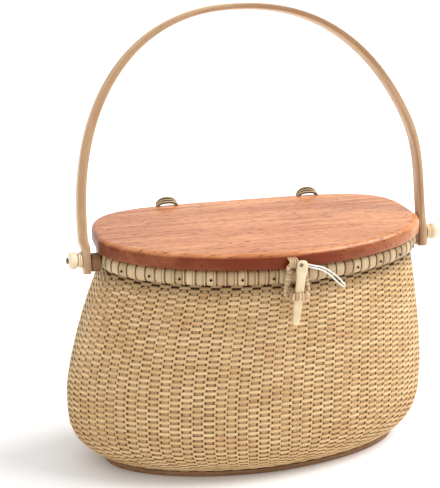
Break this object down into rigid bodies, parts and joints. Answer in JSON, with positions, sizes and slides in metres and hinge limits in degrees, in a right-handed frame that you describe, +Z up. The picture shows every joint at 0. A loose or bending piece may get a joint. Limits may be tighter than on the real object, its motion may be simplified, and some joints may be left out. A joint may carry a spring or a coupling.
{
  "type": "lidded basket",
  "caption": "Oval woven basket with a solid wood lid on cane loop hinges, a swinging bent wood handle and a peg and hasp latch.",
  "frame": {"origin": "on the surface the basket stands on, under the middle of the lid", "axes": "+Z up, -Y towards the latch, +X to the right of the latch as seen from the front"},
  "size_m": [0.307, 0.1716, 0.3529],
  "materials": {
    "weave": "fine round cane, honey and straw coloured, satin",
    "stave": "thin split cane, satin",
    "cane": "flat or round cane, pale straw, light gloss",
    "ash": "bent light wood, clear finish",
    "cherry": "straight-grained reddish wood, glossy clear finish",
    "base": "tan turned wood, clear finish",
    "bone": "polished bone, cream",
    "metal": "dull pin ends",
    "nail": "small dark nail heads",
    "string": "thin white cord"
  },
  "bodies": {
    "basket": {"base_plate": "base", "hinge_tie_left": "cane", "hinge_tie_right": "cane", "inner_hoop": "ash", "latch_staple": "cane", "outer_hoop": "ash", "pivot_ear_left": "base", "pivot_ear_right": "base", "pivot_knob_left": "bone", "pivot_knob_right": "bone", "pivot_pin_left": "metal", "pivot_pin_right": "metal", "pivot_washer_left": "bone", "pivot_washer_right": "bone", "rim_filler": "stave", "rim_lashing_back": "cane", "rim_lashing_front": "cane", "rim_lashing_left": "cane", "rim_lashing_right": "cane", "rim_nail_1": "nail", "rim_nail_10": "nail", "rim_nail_11": "nail", "rim_nail_12": "nail", "rim_nail_13": "nail", "rim_nail_14": "nail", "rim_nail_15": "nail", "rim_nail_16": "nail", "rim_nail_17": "nail", "rim_nail_18": "nail", "rim_nail_19": "nail", "rim_nail_2": "nail", "rim_nail_20": "nail", "rim_nail_21": "nail", "rim_nail_22": "nail", "rim_nail_23": "nail", "rim_nail_24": "nail", "rim_nail_3": "nail", "rim_nail_4": "nail", "rim_nail_5": "nail", "rim_nail_6": "nail", "rim_nail_7": "nail", "rim_nail_8": "nail", "rim_nail_9": "nail", "staves": "stave", "woven_wall": "weave"},
    "lid": {"lid": "cherry", "hinge_loop_left": "cane", "hinge_loop_right": "cane", "hasp_eye": "cane"},
    "hasp": {"hasp_loop": "cane"},
    "handle": {"handle": "ash"},
    "peg": {"latch_peg": "bone", "peg_string": "string"}
  },
  "joints": [
    {"name": "lid_hinge", "type": "hinge", "parent": "basket", "child": "lid", "pos_m": [0, 0.0695, 0.1763], "axis": [-1, 0, 0], "range_deg": [0, 100], "deforming": ["hasp_loop"]},
    {"name": "handle_swing", "type": "hinge", "parent": "basket", "child": "handle", "pos_m": [0, 0, 0.1699], "axis": [1, 0, 0], "range_deg": [-75, 105]},
    {"name": "hasp_swing", "type": "hinge", "parent": "lid", "child": "hasp", "pos_m": [0.004, -0.078, 0.1805], "axis": [-1, 0, 0], "range_deg": [0, 120], "deforming": ["hasp_loop"]},
    {"name": "peg_slide", "type": "slide", "parent": "basket", "child": "peg", "axis": [0.0958, 0, 0.9954], "range_m": [0, 0.04]}
  ]
}
